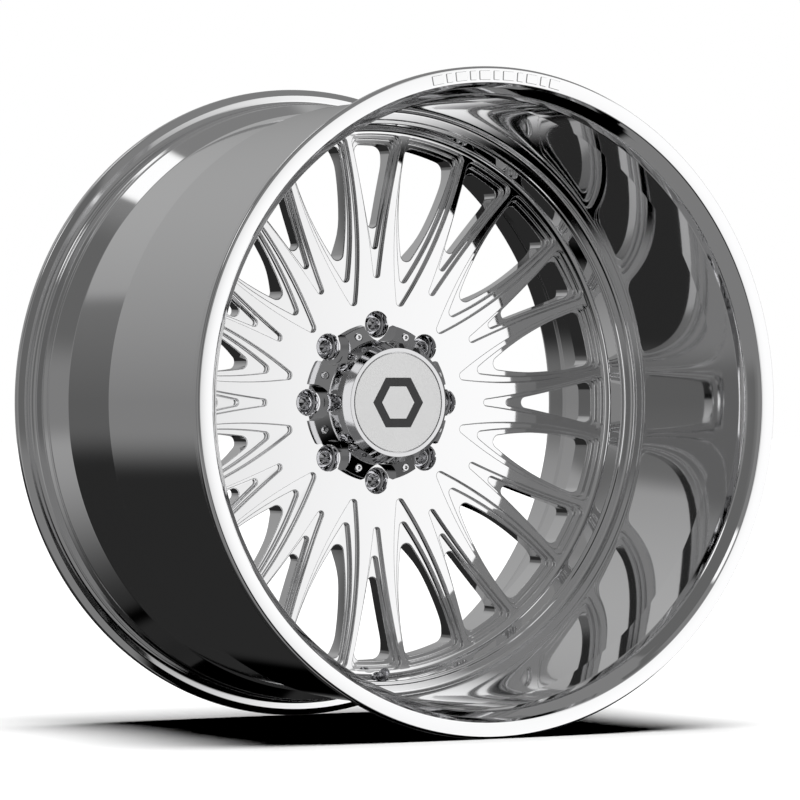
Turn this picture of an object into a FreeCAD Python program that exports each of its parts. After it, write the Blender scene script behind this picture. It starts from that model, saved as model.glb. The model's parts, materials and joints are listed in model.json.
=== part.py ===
"""Forged racing wheel rim, 26 x 16 inch, eight lug holes on a 170 mm circle.

The origin is the centre of the wheel, +Z is up and the wheel turns about Y. The dish and the
centre cap face -Y, and the hub and brake side faces +Y. Units are millimetres. A point of a
turned profile is (radius, y), and a third number is the radius of the corner's rounding.
"""
import FreeCAD
import Part

import math
import os

V = FreeCAD.Vector
ORIGIN = V(0, 0, 0)
SPIN = V(0, 1, 0)

# Rim sizes
FLANGE_R = 350.1
HALF_WIDTH = 217.0
SEAT_R = 332.6
FLANGE_FACE_R = 334.6
FLANGE_BACK = HALF_WIDTH - 13.8
LIP_OUT_R = 325.0
LIP_IN_R = 318.0
STEP_Y = 36.0
BARREL_FRONT_R = 311.0
BARREL_REAR_R = 320.0
BARREL_WALL = 8.0
DROP_END_Y = 144.0

# Forged centre
FACE_Y = 36.0
PAD_Y = 101.0
PAD_R = 118.0
SPOKE_BACK_Y = 62.0
BORE_R = 62.55
CAP_SEAT_R = 66.0
CAP_SEAT_DEPTH = 8.0
RIM_FOOT_R = 298.0
CREST_R = 305.0
CREST_Y = 15.0
LEDGE_Y = 14.0
BAND_R = 317.85
BAND_BACK_R = 302.85
BAND_BACK_Y = 76.0
WELD_SIZE = 5.0
WELD_EDGE = 0.6

# Windows: each level is (depth, tip radius, tip rounding, three points of the side as
# (distance from the axis, half width), outer radius, corner rounding)
WINDOW_COUNT = 12
THROUGH = 90.0
BIG_WINDOW = [
    (5.0, 4.5, [(113.5, 4.8), (220.0, 32.3), (284.0, 37.2)], 291.8, 8.0),
    (10.5, 4.5, [(140.0, 4.8), (220.0, 27.7), (284.0, 34.0)], 287.0, 7.5),
    (THROUGH, 7.0, [(167.0, 7.5), (220.0, 23.7), (280.0, 30.8)], 281.5, 8.0),
]
NARROW_WINDOW = [
    (5.0, 3.7, [(141.0, 3.9), (220.0, 16.6), (284.0, 30.9)], 291.8, 8.0),
    (10.5, 3.7, [(172.0, 3.9), (225.0, 14.5), (284.0, 27.9)], 287.0, 7.5),
    (THROUGH, 6.0, [(196.5, 6.1), (240.0, 14.8), (280.0, 23.8)], 281.5, 8.0),
]

# Lug bores and nuts
LUG_COUNT = 8
LUG_CIRCLE_R = 85.0
LUG_BORE_R = 13.5
LUG_HOLE_R = 7.6
SEAT_TAN = math.tan(math.radians(30))
SEAT_TOP_Y = 66.0
NUT_R = 10.8
NUT_FRONT_Y = 43.0
NUT_HOLE_R = 7.15
NUT_NOSE_R = 7.9
NUT_NOSE_LENGTH = 3.4
NUT_SOCKET_R = 7.2
NUT_SOCKET_END_Y = 50.0
NUT_SKIRT_R = 13.2
NUT_SKIRT_Y = 49.0
NUT_FLUTES = 12
NUT_FLUTE_R = 1.3
NUT_CLEARANCE = 0.1

# Centre cap
CAP_FLANGE_R = 86.5
CAP_RIM_R = 84.8
CAP_RIM_Y = 28.0
CAP_FOOT_R = 67.6
CAP_FOOT_Y = 21.0
CAP_SHOULDER_R = 64.7
CAP_SHOULDER_Y = -3.4
CAP_FACE_R = 58.8
CAP_FACE_Y = -11.0
CAP_WALL_R = 56.0
PLATE_R = 53.6
PLATE_THICK = 3.0
SCALLOP_R = 20.0
SCREW_CIRCLE_R = 76.5
SCREW_HEAD_R = 4.0
SCREW_HEAD_H = 4.0
SCREW_FACE_Y = 23.4
SCREW_SHANK_R = 2.5
SCREW_END_Y = 52.0
EMBLEM_OUT = 31.0
EMBLEM_IN = 20.0

# Tyre valve: a point on its axis, and its tilt from the wheel's axis
VALVE_Y = 36.0
VALVE_R = 303.0
VALVE_TILT = 30.0
VALVE_HOLE_R = 5.75
VALVE_POCKET_R = 8.5
VALVE_SPOT_R = 11.0
VALVE_SEAT = 3.0
VALVE_HEAD_SEAT = 15.0
STEM_R = 4.1
STEM_TIP = -20.0
VALVE_NUT_R = 7.6
VALVE_NUT_HEIGHT = 5.0
WASHER_THICK = 1.6
WASHER_R = 8.0
SOCKET_R = 2.1
SOCKET_DEPTH = 2.4
VALVE_HEAD_R = 8.6
VALVE_HEAD_THICK = 2.6
GROMMET_R = 9.4
GROMMET_THICK = 2.2
STEM_BORE_R = 1.6
CORE_BORE_R = 2.3
VALVE_CAP_R = 5.2

PARTS = {}


def rounded_edges(corners):
    """Edges of a closed outline whose corners may be rounded."""
    points = [V(c[0], c[1], 0) for c in corners]
    radii = [c[2] if len(c) > 2 else 0.0 for c in corners]
    count = len(points)
    starts, ends, arcs = [], [], []
    for i in range(count):
        before = (points[i - 1] - points[i]).normalize()
        after = (points[(i + 1) % count] - points[i]).normalize()
        if radii[i] == 0.0:
            starts.append(points[i])
            ends.append(points[i])
            arcs.append(None)
            continue
        half = before.getAngle(after) / 2
        reach = radii[i] / math.tan(half)
        middle_way = (before + after).normalize()
        centre = points[i] + middle_way * (radii[i] / math.sin(half))
        first = points[i] + before * reach
        last = points[i] + after * reach
        starts.append(first)
        ends.append(last)
        arcs.append(Part.Arc(first, centre - middle_way * radii[i], last).toShape())
    edges = []
    for i in range(count):
        if arcs[i] is not None:
            edges.append(arcs[i])
        following = starts[(i + 1) % count]
        if ends[i].distanceToPoint(following) > 1e-6:
            edges.append(Part.LineSegment(ends[i], following).toShape())
    return edges


def turned(corners):
    """A ring or disc turned about the wheel's axis."""
    face = Part.Face(Part.Wire(rounded_edges(corners)))
    return face.revolve(ORIGIN, SPIN, 360)


def cylinder(radius, y_low, y_high, x=0.0, z=0.0):
    """A cylinder parallel to the wheel's axis."""
    return Part.makeCylinder(radius, y_high - y_low, V(x, y_low, z), SPIN)


def at_angle(shape, degrees):
    """A copy of a shape turned about the wheel's axis."""
    copy = shape.copy()
    copy.rotate(ORIGIN, V(0, -1, 0), degrees)
    return copy


def around(shape, count, first=0.0):
    """Evenly spaced copies of a shape about the wheel's axis."""
    return [at_angle(shape, first + i * 360.0 / count) for i in range(count)]


def hexagon_wire(radius):
    """A regular hexagon about the wheel's axis, in the plane through the origin."""
    corners = [V(radius * math.cos(math.radians(60 * i)), 0, radius * math.sin(math.radians(60 * i)))
               for i in range(7)]
    return Part.makePolygon(corners)


def rim_half(side, barrel_r, join):
    """Tyre side of one bead seat and flange, from the barrel out to the flange's face.

    side is -1 in front and +1 behind. join is where the sloped wall reaches the barrel.
    """
    return [
        (barrel_r, join, 9.0),
        (SEAT_R - 1.6, side * 168.5, 3.0),
        (SEAT_R - 1.6, side * 174.0, 2.0),
        (SEAT_R + 0.9, side * 178.5, 3.0),
        (SEAT_R - 1.2, side * 183.0, 2.0),
        (SEAT_R, side * (FLANGE_BACK - 0.5), 6.0),
        (FLANGE_R - 7.0, side * FLANGE_BACK, 3.0),
        (FLANGE_R, side * (FLANGE_BACK + 5.0), 4.0),
        (FLANGE_R, side * HALF_WIDTH, 3.6),
        (FLANGE_FACE_R, side * HALF_WIDTH, 0.0),
    ]


def make_outer_lip():
    """Front half of the barrel: dish wall, moulded lip edge, flange and bead seat."""
    outside = rim_half(-1, LIP_OUT_R, -160.0)
    inside = [
        (FLANGE_FACE_R - 1.6, -HALF_WIDTH + 0.7, 0.6),
        (FLANGE_FACE_R - 3.6, -HALF_WIDTH + 3.4, 1.2),
        (FLANGE_FACE_R - 6.0, -HALF_WIDTH + 6.2, 0.0),
        (FLANGE_FACE_R - 7.4, -HALF_WIDTH + 6.2, 0.6),
        (LIP_IN_R + 3.4, -HALF_WIDTH + 14.0, 8.0),
        (LIP_IN_R + 1.6, -HALF_WIDTH + 24.0, 0.0),
        (LIP_IN_R + 0.9, -HALF_WIDTH + 24.6, 0.0),
        (LIP_IN_R, -150.0, 60.0),
        (LIP_IN_R, STEP_Y, 0.0),
        (LIP_OUT_R, STEP_Y, 0.8),
    ]
    PARTS["outer_lip"] = turned(outside + inside)


def barrel_radius(y):
    """Outer radius of the drop centre."""
    slope = (BARREL_REAR_R - BARREL_FRONT_R) / (DROP_END_Y - STEP_Y)
    return BARREL_FRONT_R + slope * (y - STEP_Y)


def make_inner_barrel():
    """Rear half of the barrel, with the valve's slanted hole."""
    outside = rim_half(1, BARREL_REAR_R, DROP_END_Y)
    inside = [
        (FLANGE_FACE_R - 3.0, HALF_WIDTH, 1.5),
        (SEAT_R - 9.0, HALF_WIDTH - 14.0, 8.0),
        (SEAT_R - 9.4, 172.0, 6.0),
        (BARREL_REAR_R - BARREL_WALL, DROP_END_Y + 3.0, 6.0),
        (BARREL_FRONT_R - BARREL_WALL, STEP_Y, 0.0),
        (BARREL_FRONT_R, STEP_Y, 0.0),
    ]
    PARTS["inner_barrel"] = turned(outside + inside).cut(valve_passage())


def make_welds():
    """The polished bead in the dish and the bead on the tyre side."""
    bead_r = LIP_IN_R - 0.05
    PARTS["lip_weld"] = turned([
        (bead_r, LEDGE_Y, 0.0),
        (bead_r - WELD_SIZE, LEDGE_Y, 0.0),
        (bead_r - WELD_SIZE, LEDGE_Y - WELD_EDGE, 0.0),
        (bead_r - WELD_EDGE, LEDGE_Y - WELD_EDGE, WELD_SIZE - WELD_EDGE - 0.2),
        (bead_r - WELD_EDGE, LEDGE_Y - WELD_SIZE, 0.0),
        (bead_r, LEDGE_Y - WELD_SIZE, 0.0),
    ])
    bead = turned([
        (barrel_radius(STEP_Y) + 0.05, STEP_Y, 0.0),
        (LIP_OUT_R - 3.0, STEP_Y, 0.0),
        (LIP_OUT_R - 4.0, STEP_Y + 1.6, 1.0),
        (barrel_radius(STEP_Y + 4.4) + 2.2, STEP_Y + 2.6, 2.0),
        (barrel_radius(STEP_Y + 4.4) + 0.05, STEP_Y + 4.4, 0.0),
    ])
    PARTS["barrel_weld"] = bead.cut(valve_passage())


def side_circle(points):
    """Centre and radius of the circle through three points of a window's side."""
    arc = Part.Circle(*[V(x, z, 0) for x, z in points])
    return arc.Center, arc.Radius


def window_level(depth, tip_round, side, outer_r, corner_round):
    """One level of a window that points along +X: a prism with rounded upright edges."""
    centre, radius = side_circle(side)
    reach = math.sqrt(radius ** 2 - centre.y ** 2)
    sharp_x = centre.x - reach if centre.y < 0 else centre.x + reach
    end_x = outer_r + 4.0
    rise = math.sqrt(radius ** 2 - (end_x - centre.x) ** 2)
    end_z = centre.y + rise if centre.y < 0 else centre.y - rise
    tip = V(sharp_x, 0, 0)
    middle = [V(side[1][0], 0, side[1][1] * s) for s in (1, -1)]
    end = [V(end_x, 0, end_z * s) for s in (1, -1)]
    wire = Part.Wire([
        Part.Arc(tip, middle[0], end[0]).toShape(),
        Part.LineSegment(end[0], end[1]).toShape(),
        Part.Arc(end[1], middle[1], tip).toShape(),
    ])
    above = 2.0
    wire.translate(V(0, FACE_Y - above, 0))
    prism = Part.Face(wire).extrude(V(0, depth + above, 0))
    prism = prism.common(cylinder(outer_r, FACE_Y - 5, FACE_Y + THROUGH + 5))
    upright = [e for e in prism.Edges
               if abs(e.BoundBox.YLength - (depth + above)) < 1e-3 and e.BoundBox.XLength < 1e-3]
    corners = [e for e in upright if abs(e.BoundBox.ZMin) > 1.0]
    prism = prism.makeFillet(corner_round, corners)
    tips = [e for e in prism.Edges
            if abs(e.BoundBox.ZMin) < 0.01 and abs(e.BoundBox.XMin - sharp_x) < 0.01
            and e.BoundBox.YLength > depth]
    return prism.makeFillet(tip_round, tips)


def window_cutters():
    """Every level of both families of windows."""
    cutters = []
    step = 360.0 / WINDOW_COUNT
    for level in BIG_WINDOW:
        cutters += around(window_level(*level), WINDOW_COUNT, step / 2)
    for level in NARROW_WINDOW:
        cutters += around(window_level(*level), WINDOW_COUNT)
    return cutters


def make_forged_centre():
    """The forged disc with spokes, lug bores and the rim band."""
    disc = turned([
        (CAP_SEAT_R, FACE_Y, 0.0),
        (RIM_FOOT_R, FACE_Y, 5.0),
        (CREST_R - 2.5, CREST_Y + 0.6, 1.4),
        (CREST_R + 1.0, CREST_Y + 0.6, 1.4),
        (CREST_R + 2.2, LEDGE_Y, 1.0),
        (BAND_R, LEDGE_Y, 0.0),
        (BAND_R, STEP_Y, 0.0),
        (BAND_BACK_R, STEP_Y, 0.0),
        (BAND_BACK_R, BAND_BACK_Y, 1.5),
        (289.0, BAND_BACK_Y, 4.0),
        (262.0, SPOKE_BACK_Y, 30.0),
        (190.0, SPOKE_BACK_Y, 60.0),
        (PAD_R + 14.0, PAD_Y - 12.0, 20.0),
        (PAD_R, PAD_Y, 2.0),
        (BORE_R + 2.0, PAD_Y, 0.0),
        (BORE_R, PAD_Y - 2.0, 0.0),
        (BORE_R, FACE_Y + CAP_SEAT_DEPTH, 0.0),
        (CAP_SEAT_R, FACE_Y + CAP_SEAT_DEPTH, 0.0),
    ])
    cutters = window_cutters()
    bore = cylinder(LUG_BORE_R, FACE_Y - 1, SEAT_TOP_Y, LUG_CIRCLE_R)
    mouth = Part.makeCone(LUG_BORE_R + 1.2, LUG_BORE_R, 1.2, V(LUG_CIRCLE_R, FACE_Y, 0), SPIN)
    seat_depth = (LUG_BORE_R - LUG_HOLE_R) / SEAT_TAN
    seat = Part.makeCone(LUG_BORE_R, LUG_HOLE_R, seat_depth,
                         V(LUG_CIRCLE_R, SEAT_TOP_Y, 0), SPIN)
    hole = cylinder(LUG_HOLE_R, FACE_Y, PAD_Y + 1, LUG_CIRCLE_R)
    cutters += around(bore.fuse([mouth, seat, hole]), LUG_COUNT)
    screw_hole = cylinder(SCREW_SHANK_R + 0.05, FACE_Y - 1, SCREW_END_Y + 3, SCREW_CIRCLE_R)
    cutters += around(screw_hole, LUG_COUNT, 180.0 / LUG_COUNT)
    PARTS["forged_centre"] = disc.cut(cutters + valve_passage())


def make_lug_nuts():
    """Eight splined nuts with a conical seat, open at the front."""
    end_r = NUT_HOLE_R + 1.0
    cone_y = (SEAT_TOP_Y + (LUG_BORE_R - NUT_SKIRT_R) / SEAT_TAN
              - NUT_CLEARANCE / math.sin(math.radians(30)))
    end_y = cone_y + (NUT_SKIRT_R - end_r) / SEAT_TAN
    nut = turned([
        (0.0, NUT_FRONT_Y, 0.0),
        (NUT_NOSE_R, NUT_FRONT_Y, 0.3),
        (NUT_R, NUT_FRONT_Y + NUT_NOSE_LENGTH, 0.8),
        (NUT_R, NUT_SKIRT_Y, 0.6),
        (NUT_SKIRT_R, NUT_SKIRT_Y + 1.2, 0.4),
        (NUT_SKIRT_R, cone_y, 0.0),
        (end_r, end_y, 0.0),
        (NUT_HOLE_R, end_y, 0.0),
        (NUT_HOLE_R, NUT_SOCKET_END_Y, 0.0),
        (0.0, NUT_SOCKET_END_Y, 0.0),
    ])
    socket = Part.Face(hexagon_wire(NUT_SOCKET_R)).extrude(V(0, PAD_Y, 0))
    flute = cylinder(NUT_FLUTE_R, NUT_FRONT_Y - 1, NUT_SKIRT_Y - 0.5, NUT_R + 0.5)
    nut = nut.cut([socket] + around(flute, NUT_FLUTES))
    nut.translate(V(LUG_CIRCLE_R, 0, 0))
    for i, copy in enumerate(around(nut, LUG_COUNT)):
        PARTS["lug_nut_%d" % (i + 1)] = copy


def make_cap_body():
    """Billet cap: scalloped flange, tapered body, chamfer, and a recess for the plate."""
    recess_y = CAP_FACE_Y + PLATE_THICK
    shell = turned([
        (CAP_SEAT_R - 0.2, FACE_Y, 0.0),
        (CAP_FLANGE_R, FACE_Y, 0.6),
        (CAP_RIM_R, CAP_RIM_Y, 1.0),
        (CAP_FOOT_R, CAP_FOOT_Y, 2.5),
        (CAP_SHOULDER_R, CAP_SHOULDER_Y, 1.0),
        (CAP_FACE_R, CAP_FACE_Y, 0.8),
        (PLATE_R + 0.8, CAP_FACE_Y, 0.4),
        (PLATE_R + 0.8, recess_y, 0.0),
        (0.0, recess_y, 0.0),
        (0.0, recess_y + 5.0, 0.0),
        (CAP_WALL_R, recess_y + 5.0, 6.0),
        (CAP_WALL_R, FACE_Y + CAP_SEAT_DEPTH - 0.3, 0.0),
        (CAP_SEAT_R - 0.2, FACE_Y + CAP_SEAT_DEPTH - 0.3, 0.5),
        (CAP_SEAT_R - 0.2, FACE_Y + 5.2, 0.0),
        (CAP_SEAT_R - 2.1, FACE_Y + 5.2, 0.0),
        (CAP_SEAT_R - 2.1, FACE_Y + 3.0, 0.0),
        (CAP_SEAT_R - 0.2, FACE_Y + 3.0, 0.0),
    ])
    scallop = cylinder(SCALLOP_R, CAP_SHOULDER_Y, FACE_Y + 0.001, LUG_CIRCLE_R)
    through = cylinder(SCREW_SHANK_R + 0.3, SCREW_FACE_Y, FACE_Y + 1, SCREW_CIRCLE_R)
    head = cylinder(SCREW_HEAD_R + 0.5, CAP_FOOT_Y - 6.0, SCREW_FACE_Y + SCREW_HEAD_H,
                    SCREW_CIRCLE_R)
    cutters = around(scallop, LUG_COUNT)
    cutters += around(through.fuse(head), LUG_COUNT, 180.0 / LUG_COUNT)
    PARTS["cap_body"] = shell.cut(cutters)


def make_cap_trim():
    """Face plate, hexagonal inlay, seal and screws of the cap."""
    inlay_depth = 1.0
    outer_face = Part.Face(hexagon_wire(EMBLEM_OUT))
    inner_face = Part.Face(hexagon_wire(EMBLEM_IN))
    emblem = outer_face.cut(inner_face).extrude(V(0, inlay_depth, 0))
    emblem.translate(V(0, CAP_FACE_Y, 0))
    plate = turned([
        (0.0, CAP_FACE_Y, 0.0),
        (PLATE_R, CAP_FACE_Y, 0.4),
        (PLATE_R, CAP_FACE_Y + PLATE_THICK, 0.0),
        (0.0, CAP_FACE_Y + PLATE_THICK, 0.0),
    ])
    PARTS["cap_face_plate"] = plate.cut(emblem)
    PARTS["cap_emblem"] = emblem
    ring = Part.makeTorus(CAP_SEAT_R - 1.05, 1.0, V(0, FACE_Y + 4.1, 0), SPIN)
    PARTS["cap_o_ring"] = ring
    screw = turned([
        (0.0, SCREW_FACE_Y, 0.0),
        (SCREW_HEAD_R, SCREW_FACE_Y, 0.5),
        (SCREW_HEAD_R, SCREW_FACE_Y + SCREW_HEAD_H, 0.0),
        (SCREW_SHANK_R, SCREW_FACE_Y + SCREW_HEAD_H, 0.0),
        (SCREW_SHANK_R, SCREW_END_Y, 0.5),
        (0.0, SCREW_END_Y, 0.0),
    ])
    socket = Part.Face(hexagon_wire(SOCKET_R)).extrude(V(0, SOCKET_DEPTH + 1, 0))
    socket.translate(V(0, SCREW_FACE_Y - 1, 0))
    screw = screw.cut(socket)
    screw.translate(V(SCREW_CIRCLE_R, 0, 0))
    PARTS["cap_screws"] = Part.makeCompound(around(screw, LUG_COUNT, 180.0 / LUG_COUNT))


def valve_place(shape):
    """Move a shape made along +Z at the origin onto the valve's axis at six o'clock.

    Its +Z then points backwards and outwards, towards the tyre.
    """
    moved = shape.copy()
    moved.rotate(ORIGIN, V(1, 0, 0), -90 - VALVE_TILT)
    moved.translate(V(0, VALVE_Y, -VALVE_R))
    return moved


def valve_cylinder(radius, low, high):
    """A cylinder on the valve's axis between two places along it."""
    return valve_place(Part.makeCylinder(radius, high - low, V(0, 0, low)))


def valve_passage():
    """Everything bored for the valve: pocket for the nut, hole, and spot face for the head."""
    return [
        valve_cylinder(VALVE_POCKET_R, -40.0, VALVE_SEAT),
        valve_cylinder(VALVE_HOLE_R, -5.0, 40.0),
        valve_cylinder(VALVE_SPOT_R, VALVE_HEAD_SEAT, 40.0),
    ]


def valve_turned(corners):
    """A piece turned about the valve's axis from (radius, place along the axis) points."""
    face = Part.Face(Part.Wire(rounded_edges(corners)))
    solid = face.revolve(ORIGIN, V(0, 1, 0), 360)
    solid.rotate(ORIGIN, V(1, 0, 0), 90)
    return valve_place(solid)


def make_valve():
    """Clamp-in tyre valve: stem, seals, nut, core with its pin and spring, and cap."""
    head = VALVE_HEAD_SEAT + GROMMET_THICK
    PARTS["valve_stem"] = valve_turned([
        (STEM_R, STEM_TIP, 0.3),
        (STEM_R, head, 0.0),
        (VALVE_HEAD_R, head, 0.4),
        (VALVE_HEAD_R, head + VALVE_HEAD_THICK, 1.0),
        (STEM_BORE_R, head + VALVE_HEAD_THICK, 0.0),
        (STEM_BORE_R, STEM_TIP + 14.0, 0.0),
        (CORE_BORE_R, STEM_TIP + 14.0, 0.0),
        (CORE_BORE_R, STEM_TIP, 0.0),
    ])
    PARTS["valve_grommet"] = valve_turned([
        (STEM_R + 0.1, VALVE_SEAT + 0.4, 0.0),
        (VALVE_HOLE_R - 0.1, VALVE_SEAT + 0.4, 0.4),
        (VALVE_HOLE_R - 0.1, VALVE_HEAD_SEAT + 0.1, 0.0),
        (GROMMET_R, VALVE_HEAD_SEAT + 0.1, 0.4),
        (GROMMET_R, head - 0.1, 0.4),
        (STEM_R + 0.1, head - 0.1, 0.0),
    ])
    PARTS["valve_washer"] = valve_turned([
        (STEM_R + 0.1, VALVE_SEAT - WASHER_THICK, 0.0),
        (WASHER_R, VALVE_SEAT - WASHER_THICK, 0.3),
        (WASHER_R, VALVE_SEAT, 0.0),
        (STEM_R + 0.1, VALVE_SEAT, 0.0),
    ])
    nut = Part.Face(hexagon_wire(VALVE_NUT_R)).extrude(V(0, VALVE_NUT_HEIGHT, 0))
    nut.rotate(ORIGIN, V(1, 0, 0), 90)
    nut = nut.cut(Part.makeCylinder(STEM_R + 0.05, 2 * VALVE_NUT_HEIGHT))
    nut.translate(V(0, 0, VALVE_SEAT - WASHER_THICK - VALVE_NUT_HEIGHT))
    PARTS["valve_nut"] = valve_place(nut)
    PARTS["valve_core"] = valve_turned([
        (0.75, STEM_TIP + 1.5, 0.0),
        (2.2, STEM_TIP + 1.5, 0.3),
        (2.2, STEM_TIP + 5.0, 0.0),
        (1.9, STEM_TIP + 5.0, 0.0),
        (1.9, STEM_TIP + 6.0, 0.0),
        (0.75, STEM_TIP + 6.0, 0.0),
    ])
    PARTS["valve_pin"] = valve_turned([
        (0.0, STEM_TIP + 0.2, 0.0),
        (0.65, STEM_TIP + 0.2, 0.2),
        (0.65, STEM_TIP + 11.0, 0.0),
        (1.5, STEM_TIP + 11.0, 0.0),
        (1.5, STEM_TIP + 12.0, 0.3),
        (0.0, STEM_TIP + 12.0, 0.0),
    ])
    PARTS["valve_spring"] = valve_turned([
        (0.8, STEM_TIP + 6.1, 0.0),
        (1.4, STEM_TIP + 6.1, 0.0),
        (1.4, STEM_TIP + 10.9, 0.0),
        (0.8, STEM_TIP + 10.9, 0.0),
    ])
    cap = valve_turned([
        (0.0, STEM_TIP - 3.4, 0.0),
        (VALVE_CAP_R, STEM_TIP - 3.4, 1.2),
        (VALVE_CAP_R, STEM_TIP + 9.0, 0.3),
        (STEM_R + 0.08, STEM_TIP + 9.0, 0.0),
        (STEM_R + 0.08, STEM_TIP - 1.6, 0.0),
        (0.0, STEM_TIP - 1.6, 0.0),
    ])
    PARTS["valve_cap"] = cap


def main():
    make_outer_lip()
    make_inner_barrel()
    make_welds()
    make_forged_centre()
    make_lug_nuts()
    make_cap_body()
    make_cap_trim()
    make_valve()
    os.makedirs("parts", exist_ok=True)
    for name, shape in PARTS.items():
        if not shape.isValid():
            raise RuntimeError(name + " is not a valid solid")
        shape.exportStep("parts/" + name + ".step")
        print(name, len(shape.Solids), round(shape.Volume / 1000.0, 2))


main()
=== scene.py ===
"""Forged racing wheel rim: polished pieces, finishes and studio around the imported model."""

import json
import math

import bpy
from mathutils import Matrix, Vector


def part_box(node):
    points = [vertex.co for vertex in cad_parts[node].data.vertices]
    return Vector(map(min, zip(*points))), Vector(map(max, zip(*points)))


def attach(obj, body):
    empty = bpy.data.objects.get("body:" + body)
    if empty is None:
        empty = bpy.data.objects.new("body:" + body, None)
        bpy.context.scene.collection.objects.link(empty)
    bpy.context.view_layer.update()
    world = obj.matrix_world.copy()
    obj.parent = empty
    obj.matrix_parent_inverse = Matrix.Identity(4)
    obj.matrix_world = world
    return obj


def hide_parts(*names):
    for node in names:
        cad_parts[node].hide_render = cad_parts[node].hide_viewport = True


bl_info = {
    "name": "Forged Wheel Rim",
    "version": (1, 0, 0),
    "blender": (4, 5, 0),
    "location": "View3D > Sidebar > Wheel Rim",
    "description": "Builds a polished forged wheel rim with its nuts, cap, valve and studio",
    "category": "Object",
}

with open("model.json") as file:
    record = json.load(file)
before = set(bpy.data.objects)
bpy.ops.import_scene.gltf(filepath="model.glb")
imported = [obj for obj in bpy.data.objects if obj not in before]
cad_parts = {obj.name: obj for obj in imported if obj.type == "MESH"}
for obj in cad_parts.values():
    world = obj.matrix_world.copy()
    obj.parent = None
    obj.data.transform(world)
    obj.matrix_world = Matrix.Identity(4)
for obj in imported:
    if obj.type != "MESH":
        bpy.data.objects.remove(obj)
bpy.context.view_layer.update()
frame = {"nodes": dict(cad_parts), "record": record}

MM = 0.001
SPIN_AXIS = (0.0, 1.0, 0.0)
CENTRE = (0.0, 0.0, 0.0)
RIM_BODY = "rim"
TURN = 2 * math.pi

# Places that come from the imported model, in millimetres
LIP_LOW, LIP_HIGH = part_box("outer_lip")
DISC_LOW, DISC_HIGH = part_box("forged_centre")
CAP_LOW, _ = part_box("cap_body")
NUT_LOW, NUT_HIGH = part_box("lug_nut_1")
FLANGE_R = LIP_HIGH[2] / MM
HALF_WIDTH = -LIP_LOW[1] / MM
STEP_Y = LIP_HIGH[1] / MM
PAD_Y = DISC_HIGH[1] / MM
LEDGE_Y = DISC_LOW[1] / MM
CAP_FACE_Y = CAP_LOW[1] / MM
NUT_FRONT_Y = NUT_LOW[1] / MM
LUG_CIRCLE_R = (NUT_LOW[0] + NUT_HIGH[0]) / 2 / MM
FLOOR_Z = LIP_LOW[2]

# Rim profile, in millimetres
SEAT_R = FLANGE_R - 17.5
FLANGE_FACE_R = FLANGE_R - 15.5
FLANGE_BACK = HALF_WIDTH - 13.8
LIP_OUT_R = 325.0
LIP_IN_R = 318.0
BARREL_FRONT_R = 311.0
BARREL_REAR_R = 320.0
BARREL_WALL = 8.0
DROP_END_Y = 144.0
RIM_STEPS = 288

# Raised bars on the front flange: half height and relief in millimetres, pitch in degrees
BAR_TALL = 4.8
BAR_RELIEF = 0.9
BAR_PITCH = 2.4

# Forged centre, in millimetres
FACE_Y = 36.0
RIM_FOOT_R = 298.0
CREST_Y = LEDGE_Y + 1.6
BAND_R = 317.85
BAND_BACK_R = 302.85
BAND_BACK_Y = 76.0
PAD_R = 118.0
SPOKE_BACK_Y = 62.0
BORE_R = 62.55
CAP_SEAT_R = 66.0
CAP_SEAT_DEPTH = 8.0
WELD_SIZE = 5.0
LUG_COUNT = 8
WINDOW_COUNT = 12
LUG_BORE_R = 13.5
LUG_HOLE_R = 7.6
SEAT_TOP_Y = 66.0
SEAT_TAN = math.tan(math.radians(30))

# Lug nut, centre cap and its screws, in millimetres
NUT_R = 10.8
NUT_HOLE_R = 7.15
NUT_NOSE_R = 7.9
NUT_NOSE_LENGTH = 3.4
NUT_SOCKET_R = 7.2
NUT_SOCKET_END_Y = 50.0
NUT_SKIRT_R = 13.2
NUT_SKIRT_Y = 49.0
NUT_FLUTES = 12
NUT_FLUTE_R = 1.3
CAP_FLANGE = (86.5, FACE_Y)
CAP_RIM = (84.8, 28.0)
CAP_FOOT = (67.6, 21.0)
CAP_SHOULDER = (64.7, -3.4)
CAP_FACE_R = 58.8
CAP_HOLLOW_R = 56.0
CAP_TOP_THICK = 5.0
SCALLOP_R = 20.0
SCREW_CIRCLE_R = 76.5
SCREW_SHANK_R = 2.5
SCREW_END_Y = 52.0
SCREW_HEAD_R = 4.0
SCREW_FACE_Y = 23.4
SCREW_HEAD_H = 4.0
SCREW_SOCKET_R = 2.1
SCREW_SOCKET_DEPTH = 2.4
PLATE_R = 53.6
PLATE_THICK = 3.0
INLAY_DEPTH = 1.0
INLAY_OUT = 31.0
INLAY_IN = 20.0

# Tyre valve: a point on its axis in millimetres, and the way from the dish to the tyre. Places
# along it are measured from that point.
VALVE_POINT = (0.0, 36.0, -303.0)
VALVE_AXIS = (0.0, math.cos(math.radians(30)), -math.sin(math.radians(30)))
VALVE_HOLE_R = 5.75
VALVE_POCKET_R = 8.5
VALVE_SPOT_R = 11.0
VALVE_SEAT = 3.0
VALVE_HEAD_SEAT = 15.0
STEM_R = 4.1
STEM_TIP = -20.0
STEM_HEAD = 17.2
STEM_HEAD_R = 8.6
STEM_END = 19.8
STEM_BORE_R = 1.6
CORE_BORE_R = 2.3
CORE_BORE_END = -6.0
WASHER_R = 8.0
WASHER_FRONT = 1.4
VALVE_NUT_R = 7.6
VALVE_NUT_FRONT = -3.6
VALVE_CAP_R = 5.2
VALVE_CAP_FRONT = -23.4
VALVE_CAP_BACK = -11.0

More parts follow.
